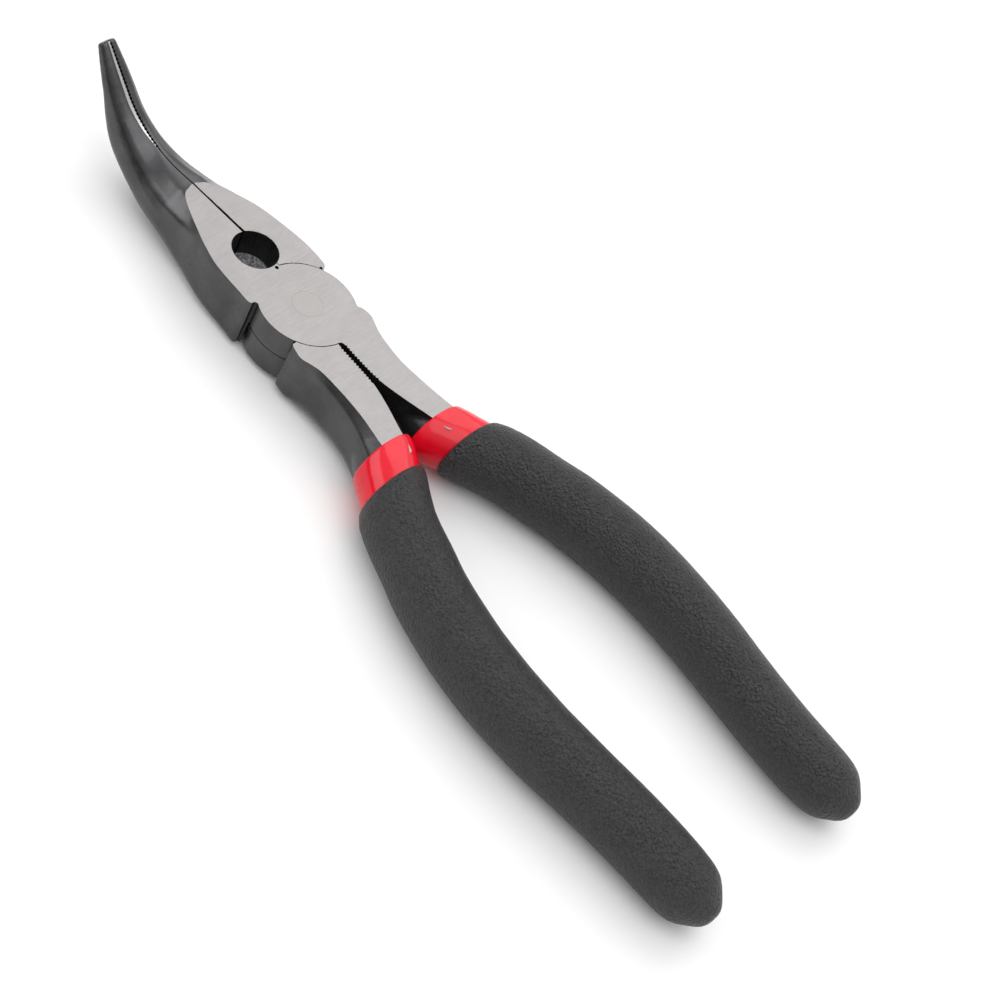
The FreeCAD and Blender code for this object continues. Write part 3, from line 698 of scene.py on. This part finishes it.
def machined(side, bm, neck_table):
    print("ground faces", ground(bm, THICK, 1), ground(bm, 0.0, -1))
    bm = milled(bm, recess_cutter(side), MILLED)
    bm = milled(bm, slit_cutter(side), MILLED)
    x, y, radius = HOLE
    bm = milled(bm, cylinder(radius, KNURL_TOP - 0.2, HIGH, x, y), MILLED)
    # the knurl takes the pale finish of painted light
    bm = milled(bm, knurled_cutter(), KNURL_PAINTED_LIGHT)
    x, y, radius = CORNER_GROOVE[side]
    bm = milled(bm, cylinder(radius, x=x, y=y, segments=24), MILLED)
    bm = milled(bm, tooth_cutter(side, neck_table), OXIDE)
    bm = milled(bm, serration_cutter(side), MILLED)
    if side > 0:
        # the flat takes the bright finish of a painted highlight
        bm = milled(bm, strip_cutter(side), PAINTED_HIGHLIGHT_STRIP)
        x, y, radius = SLIT_DRILL
        bm = milled(bm, cylinder(radius, 9.0, HIGH, x, y, segments=24), OXIDE)
        bm = milled(bm, cylinder(RIVET + RIVET_PRESS), MILLED)
    else:
        bore = RIVET + RIVET_RUN
        bm = milled(bm, cylinder(bore), MILLED)
        seat = cylinder(bore, -0.1, HEAD_HEIGHT + RIVET_RUN, low_radius=HEAD_RADIUS + 0.11)
        bm = milled(bm, seat, MILLED)
    print("softened edges", soften_edges(bm))
    return bm


levers = {
    1: machined(1, blanks[1], NECK_UPPER),
    -1: machined(-1, blanks[-1], NECK_LOWER),
}
print("machined faces", {side: len(bm.faces) for side, bm in levers.items()})

# %% [markdown]
# ## The bars inside the grips
# Only the front of each bar has to look forged. Behind the collar it is a plain round bar, so the
# skin is cut square inside the sleeve, and its rim is extruded back along the handle, one step
# at a time, each step turned and scaled to the next place.
# %% Extend a bar to its end
GRIP_END = {1: 140.7, -1: 138.5}    # by the side of the jaw: +1 is the upper lever
BAR_END_GAP = 11.0                  # from a bar's end to its grip's end


def extend_bar(side, bm):
    last_place = across_handle(-side, BAR_CUT)
    last_radius = smooth_row(BAR, BAR_CUT)[0]
    geom = bm.verts[:] + bm.edges[:] + bm.faces[:]
    cut = bmesh.ops.bisect_plane(bm, geom=geom, dist=ON_PLANE, plane_co=last_place.translation,
                                 plane_no=-last_place.col[2].to_3d(), clear_outer=True)
    rim = only(bmesh.types.BMEdge, cut["geom_cut"])
    for back in steps(BAR_CUT, GRIP_END[side] - BAR_END_GAP, 4.0)[1:]:
        made = bmesh.ops.extrude_edge_only(bm, edges=rim)["geom"]
        rim = only(bmesh.types.BMEdge, made)
        place = across_handle(-side, back)
        radius = smooth_row(BAR, back)[0]
        move = place @ Matrix.Scale(radius / last_radius, 4) @ last_place.inverted()
        bmesh.ops.transform(bm, matrix=move, verts=only(bmesh.types.BMVert, made))
        last_place, last_radius = place, radius
    for face in bmesh.ops.contextual_create(bm, geom=rim)["faces"]:
        face.smooth = False
    return len(rim)


print("points round each bar", {side: extend_bar(side, bm) for side, bm in levers.items()})


# %% [markdown]
# ## From the workbench to the frame
# A finished bmesh is brought to metres, becomes an object at the origin, rides on its body, and
# stands for its CAD node. Its faces point outwards because every shell was closed before it was
# cut, and only edges sharper than a limit are shaded sharp.
# %% Finish a piece
SHARP = math.radians(40)


def finished(name, bm, body, node, materials):
    bmesh.ops.scale(bm, vec=(0.001, 0.001, 0.001), verts=bm.verts)
    bm.faces.index_update()
    flat = [face.index for face in bm.faces if not face.smooth]
    mesh = bpy.data.meshes.new(name)
    bm.to_mesh(mesh)
    bm.free()
    mesh.set_sharp_from_angle(angle=SHARP)
    for index in flat:
        mesh.polygons[index].use_smooth = False
    for material in materials:
        mesh.materials.append(material)
    piece = bpy.data.objects.new(name, mesh)
    bpy.context.scene.collection.objects.link(piece)
    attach(piece, body)
    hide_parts(node)
    print(name, len(mesh.polygons), "faces")
    return piece


# %% [markdown]
# ## Node helpers
# A finish is a small tree of nodes. These helpers make a material, add a node with its values,
# and read a pattern in object coordinates, which stay with a piece when its body moves.
# %% Make materials and nodes
def new_material(name):
    material = bpy.data.materials.new(name)
    material.use_nodes = True
    tree = material.node_tree
    return material, tree, tree.nodes["Principled BSDF"]


def node(tree, kind, inputs=None, **settings):
    """A node with its settings, and its inputs given as values or as sockets to link."""
    made = tree.nodes.new(kind)
    for name, value in settings.items():
        setattr(made, name, value)
    for name, value in (inputs or {}).items():
        if isinstance(value, bpy.types.NodeSocket):
            tree.links.new(value, made.inputs[name])
        else:
            made.inputs[name].default_value = value
    return made


def pattern_space(tree, turn=(0.0, 0.0, 0.0), scale=(1.0, 1.0, 1.0)):
    coordinate = node(tree, "ShaderNodeTexCoord")
    return node(tree, "ShaderNodeMapping", {"Vector": coordinate.outputs["Object"], "Rotation": turn,
                                            "Scale": scale}).outputs["Vector"]


def noise_at(tree, space, scale, detail=3.0, roughness=0.5):
    made = node(tree, "ShaderNodeTexNoise", {"Vector": space, "Scale": scale, "Detail": detail,
                                             "Roughness": roughness})
    return made.outputs["Fac"]


def ramp(tree, factor, stops):
    """A colour ramp with stops (position, grey or colour)."""
    made = node(tree, "ShaderNodeValToRGB", {"Fac": factor})
    band = made.color_ramp
    while len(band.elements) < len(stops):
        band.elements.new(0.5)
    for element, (position, colour) in zip(band.elements, stops):
        element.position = position
        element.color = (*colour, 1) if isinstance(colour, tuple) else (colour, colour, colour, 1)
    return made.outputs["Color"]


def blend(tree, share, first, second):
    """Two patterns, with that share of the second."""
    made = node(tree, "ShaderNodeMix", {"Factor": share, "A": first, "B": second}, data_type="FLOAT")
    return made.outputs["Result"]


def bump(tree, height, strength, distance, under=None):
    inputs = {"Height": height, "Strength": strength, "Distance": distance}
    if under is not None:
        inputs["Normal"] = under
    return node(tree, "ShaderNodeBump", inputs).outputs["Normal"]


def dress(tree, shader, colour, gloss, normal=None):
    """Links a colour, a roughness and perhaps a normal to a shader."""
    tree.links.new(colour, shader.inputs["Base Color"])
    tree.links.new(gloss, shader.inputs["Roughness"])
    if normal is not None:
        tree.links.new(normal, shader.inputs["Normal"])


print("node helpers ready")

# %% [markdown]
# ## Black oxide on a forging
# The oxide is a thin dark skin on steel, so it is a metal of low reflectance. Its gloss changes
# over a few millimetres where the tool was handled, and its grain is the fine scale of the
# forging. Both are noise, at the two real sizes.
# %% Forged steel with black oxide
def black_oxide():
    material, tree, shader = new_material("black_oxide_steel")
    space = pattern_space(tree)
    cloud = noise_at(tree, space, 130.0, 4.0, 0.55)
    grain = noise_at(tree, space, 2600.0, 3.0, 0.6)
    colour = ramp(tree, cloud, [(0.3, (0.058, 0.057, 0.060)), (0.7, (0.098, 0.096, 0.099))])
    gloss = ramp(tree, cloud, [(0.3, 0.22), (0.72, 0.33)])
    waves = bump(tree, noise_at(tree, space, 420.0, 3.0), 0.10, 0.0004)
    dress(tree, shader, colour, gloss, bump(tree, grain, 0.13, 0.00008, waves))
    shader.inputs["Metallic"].default_value = 0.85
    return material


print("black oxide ready")


# %% [markdown]
# ## Ground steel
# The faces of the joint are belt-ground across the tool and left bare. The lines are noise
# drawn out twenty times along the belt's direction. They carry a little colour, a little
# gloss and a very shallow bump, with faint broad clouds under them.
# %% Bare ground steel
BELT_TURN = math.radians(10)


def ground_steel():
    material, tree, shader = new_material("ground_steel")
    lines_space = pattern_space(tree, (0, 0, -BELT_TURN), (1.0, 0.05, 1.0))
    fine = noise_at(tree, lines_space, 16000.0, 2.0, 0.6)
    broad = noise_at(tree, lines_space, 5200.0, 3.0, 0.6)
    cloud = noise_at(tree, pattern_space(tree), 160.0, 3.0, 0.5)
    lines = blend(tree, 0.5, fine, broad)
    clouded = blend(tree, 0.2, lines, cloud)
    colour = ramp(tree, clouded, [(0.3, (0.262, 0.249, 0.246)), (0.7, (0.335, 0.321, 0.317))])
    gloss = ramp(tree, clouded, [(0.3, 0.48), (0.7, 0.38)])
    dress(tree, shader, colour, gloss, bump(tree, lines, 0.07, 0.00002))
    shader.inputs["Metallic"].default_value = 1.0
    return material


print("belt lines turned by", round(math.degrees(BELT_TURN)), "degrees")


# %% [markdown]
# ## Milled faces
# The recess, the slit and the gripping faces are cut before the oxide goes on. They are coloured
# darker than the forging, a painted shade for the recesses, the slit and the seams, with the cutter's
# fine marks. The knurl in the hole is painted pale in spots, painted light for the light from the floor
# that reaches its lower wall. The flat along the upper jaw's gripping edge is painted bright, a painted
# highlight.
# %% Milled and oxidised steel
def milled_steel_painted_shade():
    material, tree, shader = new_material("milled_steel_painted_shade")
    marks = noise_at(tree, pattern_space(tree, scale=(1.0, 1.0, 0.06)), 5200.0, 2.0, 0.5)
    # painted shade: the milled faces are coloured much darker than the forging, to darken the recess, the
    # slit and the seams between the laps
    colour = ramp(tree, marks, [(0.3, (0.022, 0.022, 0.023)), (0.7, (0.042, 0.042, 0.043))])
    gloss = ramp(tree, marks, [(0.3, 0.42), (0.7, 0.34)])
    dress(tree, shader, colour, gloss, bump(tree, marks, 0.1, 0.00004))
    shader.inputs["Metallic"].default_value = 0.85
    return material


def painted_light_knurl_steel():
    material, tree, shader = new_material("knurl_steel_painted_light")
    spots = noise_at(tree, pattern_space(tree), 1500.0, 3.0, 0.6)
    # painted light: pale spots on the knurl stand in for light from the floor reaching the lower wall of
    # the hole
    colour = ramp(tree, spots, [(0.35, (0.10, 0.10, 0.105)), (0.62, (0.85, 0.85, 0.88))])
    dress(tree, shader, colour, ramp(tree, spots, [(0.3, 0.55), (0.7, 0.40)]))
    shader.inputs["Metallic"].default_value = 0.6
    return material


def painted_highlight_strip_steel():
    material, tree, shader = new_material("edge_steel_painted_highlight")
    lines = noise_at(tree, pattern_space(tree, scale=(0.05, 1.0, 0.05)), 6000.0, 2.0, 0.5)
    # painted highlight: this bright colour on the upper jaw's flat stands in for the highlight along its
    # gripping edge
    colour = ramp(tree, lines, [(0.3, (0.46, 0.45, 0.45)), (0.7, (0.60, 0.59, 0.59))])
    dress(tree, shader, colour, ramp(tree, lines, [(0.3, 0.24), (0.7, 0.33)]))
    shader.inputs["Metallic"].default_value = 1.0
    return material


steel = [black_oxide(), ground_steel(), milled_steel_painted_shade(), painted_light_knurl_steel(), painted_highlight_strip_steel()]
print("steel finishes", [material.name for material in steel])

# %% [markdown]
# ## The two levers
# Each lever takes the whole list of finishes, because its faces already carry the number of the
# one they need. The upper half is the body that stands still, and the lower half turns.
# %% Finish the levers
HALVES = {1: "upper", -1: "lower"}
for side, half in HALVES.items():
    finished(half + "_lever_forging", levers[side], half + "_half", half + "_lever", steel)

# %% [markdown]
# ## The rivet
# The rivet is turned: a shank with a countersunk head underneath. Its half section is spun once
# round the pivot. Both ends are flush with the ground faces, and only the fine rings of the last
# turning cut show where the rivet is.
# %% Spin the rivet
def rivet():
    bm = bmesh.new()
    foot = [(0, 0), (HEAD_RADIUS - 0.05, 0), (HEAD_RADIUS, 0.05), (RIVET, HEAD_HEIGHT)]
    section = foot + [(RIVET, THICK - 0.01), (RIVET - 0.01, THICK), (0, THICK)]
    verts = [bm.verts.new((radius, 0, height)) for radius, height in section]
    edges = [bm.edges.new(pair) for pair in zip(verts, verts[1:])]
    bmesh.ops.spin(bm, geom=verts + edges, cent=(0, 0, 0), axis=(0, 0, 1), angle=math.tau, steps=96,
                   use_merge=True)
    bmesh.ops.remove_doubles(bm, verts=bm.verts, dist=0.001)
    outwards(bm)
    for face in bm.faces:
        flat = abs(face.normal.z) > 0.99
        face.material_index = int(not flat)
        face.smooth = not flat
    return bm


def turned_steel():
    material, tree, shader = new_material("turned_rivet_steel")
    inputs = {"Vector": pattern_space(tree), "Scale": 900.0, "Distortion": 3.0, "Detail": 3.0}
    rings = node(tree, "ShaderNodeTexWave", inputs, wave_type="RINGS", rings_direction="Z").outputs["Fac"]
    colour = ramp(tree, rings, [(0.2, (0.265, 0.252, 0.246)), (0.8, (0.330, 0.316, 0.308))])
    dress(tree, shader, colour, ramp(tree, rings, [(0.2, 0.46), (0.8, 0.40)]))
    shader.inputs["Metallic"].default_value = 1.0
    return material


rivet_finishes = [turned_steel(), steel[MILLED]]
finished("rivet_turned", rivet(), "upper_half", "pivot_rivet", rivet_finishes)

# %% [markdown]
# ## Sleeves and grips
# Both are lofts of rings along the handle. The front rims stand square to the handle line
# although the handle already leans outwards there, so the rings near the front are upright and
# stretched, and turn across the handle further back. A shell goes out over the outside, round
# the rim, and back inside, so that it has a real wall and is closed.
# %% Rings that turn with the handle
COVER_STEPS = 96
UPRIGHT_UNTIL = 41.0
TURNED_FROM = 50.0


def covering_ring(bm, side, back, radius, flat=math.inf):
    """A ring round a handle. flat is the half height that the ring is flattened to."""
    out, slope = centre_line(back)
    t = min(max((back - UPRIGHT_UNTIL) / (TURNED_FROM - UPRIGHT_UNTIL), 0), 1)
    tilt = slope * t * t * (3 - 2 * t)
    place = handle_place(side, back, out, HALF, tilt)
    stretch = Matrix.Diagonal((1 / math.cos(slope - tilt), 1, 1, 1))
    verts = bmesh.ops.create_circle(bm, cap_ends=False, segments=COVER_STEPS, radius=radius)["verts"]
    for vert in verts:
        vert.co.y = min(max(vert.co.y, -flat), flat)
    bmesh.ops.transform(bm, matrix=place @ stretch, verts=verts)
    return edges_of(verts)


def radii(table, backs, extra=0.0):
    """Places (back, radius) read from a table, with something added to each radius."""
    return [(back, smooth_row(table, back)[0] + extra) for back in backs]


def rim_curve(front, radius, wall, count):
    """Places (back, radius) over a rounded rim, from the outside in."""
    half = wall / 2
    places = []
    for k in range(count + 1):
        angle = math.pi * k / count
        places.append((front + half - half * math.sin(angle), radius - half + half * math.cos(angle)))
    return places


print("rim", [tuple(round(v, 2) for v in place) for place in rim_curve(33.0, 6.7, 0.7, 5)])

# %% [markdown]
# ## Dipped plastic sleeves
# Each sleeve is soft plastic, dipped over the bar: glossy, full at its rim, and flattened a
# little over and under, where it lies on the ground faces.
# %% Model the sleeves
SLEEVE_FRONT = 33.0
SLEEVE_WALL = 0.7
SLEEVE_FLAT = 6.42
# Back from the pivot; outer radius.
SLEEVE = [
    (33.0, 6.72), (35.0, 6.75), (37.0, 6.6), (40.4, 6.3), (47.0, 6.05), (55.0, 5.9), (100.0, 5.8),
    (120.0, 5.4), (131.0, 4.8),
]


def sleeve(side, end):
    bm = bmesh.new()
    places = [(end + 0.9, 2.2), (end + 0.85, 3.4), (end + 0.5, 4.3)]
    places += radii(SLEEVE, steps(end, 43.0, 3.0) + steps(42.0, SLEEVE_FRONT + 0.5, 0.6))
    places += rim_curve(SLEEVE_FRONT, SLEEVE[0][1], SLEEVE_WALL, 5)
    places += radii(BAR, steps(SLEEVE_FRONT + 1.0, end, 3.0), 0.05)
    rings = [covering_ring(bm, side, back, radius, SLEEVE_FLAT) for back, radius in places]
    loft(bm, rings)
    for face in bm.faces:
        face.smooth = True
    return bm


def glossy_red():
    material, tree, shader = new_material("glossy_red_plastic")
    space = pattern_space(tree)
    cloud = noise_at(tree, space, 180.0, 3.0)
    colour = ramp(tree, cloud, [(0.3, (0.66, 0.003, 0.016)), (0.7, (0.74, 0.006, 0.024))])
    gloss = ramp(tree, cloud, [(0.3, 0.12), (0.7, 0.17)])
    dress(tree, shader, colour, gloss, bump(tree, noise_at(tree, space, 700.0, 2.0), 0.08, 0.0002))
    shader.inputs["IOR"].default_value = 1.42
    shader.inputs["Subsurface Weight"].default_value = 0.05
    shader.inputs["Subsurface Radius"].default_value = (0.0012, 0.0003, 0.0003)
    return material


red = glossy_red()
for side, half in HALVES.items():
    finished(half + "_sleeve_dipped", sleeve(-side, GRIP_END[side] - BAR_END_GAP), half + "_half",
             half + "_collar_sleeve", [red])

# %% [markdown]
# ## Foam grips
# A grip is a thick foam tube, closed and rounded to a blunt point at its tail, with a rounded
# front rim. The skin of the foam is pebbled. Its broad unevenness and its pebbles are real
# geometry, made by pushing the points along their normals by noise, and the finish adds only
# the pores between them.
# %% Model the grips
GRIP_FRONT = 39.7
GRIP_WALL = 1.3         # of the rolled front rim
# Back from the pivot; outer radius.
GRIP = [
    (39.7, 7.0), (42.0, 7.15), (47.7, 7.28), (55.6, 7.35), (61.0, 7.42), (70.0, 7.5), (84.0, 7.5),
    (92.0, 7.4), (98.0, 7.32), (105.0, 7.15), (113.0, 7.05), (120.0, 7.0), (127.0, 6.95),
]
# Ahead of the end; outer radius.
TAIL = [
    (0.0, 0.25), (0.08, 1.1), (0.35, 2.0), (1.0, 2.95), (2.3, 4.15), (3.8, 5.35), (5.3, 6.15),
    (7.5, 6.65), (10.5, 6.85), (14.0, 6.95),
]
TAIL_TIP = [0.0, 0.08, 0.2, 0.35, 0.65, 1.0, 1.4, 1.85]     # closer rings over the blunt point
PEBBLE = 0.03           # height of the pebbles
UNEVEN = 0.06           # height of the broad unevenness


def grip(side, end):
    bm = bmesh.new()
    tail = TAIL[-1][0]
    places = [(end - ahead, radius) for ahead, radius in radii(TAIL, TAIL_TIP + steps(2.3, tail, 0.5))]
    places += radii(GRIP, steps(end - tail - 0.5, GRIP_FRONT + 1.0, 0.5))
    places += rim_curve(GRIP_FRONT, GRIP[0][1] + 0.03, GRIP_WALL, 8)[1:-1]
    places += radii(SLEEVE, steps(GRIP_FRONT + 0.9, end - BAR_END_GAP, 3.0), 0.03)
    rings = [covering_ring(bm, side, back, radius) for back, radius in places]
    loft(bm, rings)
    bm.normal_update()
    for vert in bm.verts:
        pebbles = noise.noise(vert.co * 1.15) + 0.6 * noise.noise(vert.co * 2.1)
        vert.co += vert.normal * (PEBBLE * pebbles + UNEVEN * noise.noise(vert.co * 0.12))
    for face in bm.faces:
        face.smooth = True
    return bm


def pebbled_foam():
    material, tree, shader = new_material("pebbled_black_foam")
    space = pattern_space(tree)
    inputs = {"Vector": space, "Scale": 1900.0, "Randomness": 1.0}
    pebbles = node(tree, "ShaderNodeTexVoronoi", inputs, feature="SMOOTH_F1").outputs["Distance"]
    grain = noise_at(tree, space, 2500.0, 3.0, 0.65)
    cloud = noise_at(tree, space, 220.0, 4.0, 0.6)
    tone = blend(tree, 0.15, grain, cloud)
    colour = ramp(tree, tone, [(0.38, (0.003, 0.003, 0.004)), (0.64, (0.036, 0.034, 0.037))])
    gloss = ramp(tree, grain, [(0.3, 0.33), (0.7, 0.53)])
    pores = bump(tree, pebbles, 1.0, 0.0007)
    dress(tree, shader, colour, gloss, bump(tree, grain, 1.0, 0.0005, pores))
    shader.inputs["Specular IOR Level"].default_value = 0.6
    return material


foam = pebbled_foam()
for side, half in HALVES.items():
    piece = finished(half + "_grip_foam", grip(-side, GRIP_END[side]), half + "_half",
                     half + "_foam_grip", [foam])

# %% [markdown]
# ## The floor
# The pliers lie on a plain pale floor, which is set to the lowest point of the grips.
# %% Lay the floor
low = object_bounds()[0]
floor_mesh = bmesh.new()
bmesh.ops.create_grid(floor_mesh, x_segments=8, y_segments=8, size=3.0,
                      matrix=Matrix.Translation((0, 0, low.z)))
floor = bpy.data.objects.new("floor", mesh_of(floor_mesh, "floor"))
bpy.context.scene.collection.objects.link(floor)
floor_material, floor_tree, floor_shader = new_material("pale_floor")
paper = noise_at(floor_tree, pattern_space(floor_tree), 60.0, 2.0)
pale = ramp(floor_tree, paper, [(0.3, 0.86), (0.7, 0.88)])
floor_tree.links.new(pale, floor_shader.inputs["Base Color"])
floor_shader.inputs["Roughness"].default_value = 0.8
floor_shader.inputs["Specular IOR Level"].default_value = 0.2
floor.data.materials.append(floor_material)
print("floor at", round(low.z * 1000, 2), "mm")


# %% [markdown]
# ## The lights
# The light is plain and soft: three square panels, and a surround that is pale above and behind
# the tool, like paper swept up a wall, and dim towards the viewer. The bare steel mirrors the
# pale part, and the dark steel mirrors the dim part, which draws the edges.
# %% Hang the panels and paint the surround
AIM = Vector((-0.03, 0, 0))     # the middle of the tool
WALL_RISE = -0.62               # how far the paper comes up behind the tool, towards -Y


def panel(name, direction, distance, size, power):
    """A square soft light that faces the tool from a direction."""
    light = bpy.data.lights.new(name, "AREA")
    light.shape = "SQUARE"
    light.size = size
    light.energy = power
    holder = bpy.data.objects.new(name, light)
    holder.location = Vector(direction).normalized() * distance + AIM
    holder.rotation_euler = (AIM - holder.location).to_track_quat("-Z", "Y").to_euler()
    bpy.context.scene.collection.objects.link(holder)


panel("key_panel", (0.15, -0.62, 0.78), 1.1, 0.9, 3.4)
panel("left_panel", (0.9, 0.35, 0.55), 1.2, 0.7, 3.4)
panel("top_panel", (-0.3, 0.25, 1.0), 1.2, 1.0, 4.4)
world = bpy.data.worlds.new("pale_surround")
world.use_nodes = True
sky = world.node_tree
ray = node(sky, "ShaderNodeTexCoord").outputs["Generated"]
axes = node(sky, "ShaderNodeSeparateXYZ", {"Vector": ray}).outputs


def reckon(first, second, operation):
    return node(sky, "ShaderNodeMath", {0: first, 1: second}, operation=operation).outputs["Value"]


behind = reckon(reckon(axes["Y"], WALL_RISE, "MULTIPLY"), 0.0, "MAXIMUM")
level = reckon(axes["Z"], behind, "ADD")
greys = ramp(sky, level, [(0.0, 0.10), (0.2, 0.16), (0.55, 0.70), (1.0, 1.0)])
sky.links.new(greys, sky.nodes["Background"].inputs["Color"])
bpy.context.scene.world = world
bpy.context.scene.view_settings.view_transform = "Standard"

# %% [markdown]
# ## The camera
# The camera looks down over the ground faces from the side of the upper jaw, with the nose at the
# upper left. A longish lens, about 0.43 m away, keeps the perspective gentle.
# %% Place the camera
CAMERA_SPOT = (-0.12166, 0.26639, 0.30949)
CAMERA_TURN = [math.radians(turn) for turn in (37.54, -21.58, -140.09)]
camera = bpy.data.objects.new("camera", bpy.data.cameras.new("camera"))
camera.data.sensor_width = 36.0
camera.data.lens = 76.85
camera.data.clip_start = 0.01
camera.data.clip_end = 20.0
camera.location = CAMERA_SPOT
camera.rotation_euler = CAMERA_TURN
bpy.context.scene.collection.objects.link(camera)
bpy.context.scene.camera = camera
print("camera is", round(camera.location.length, 2), "m from the pivot")
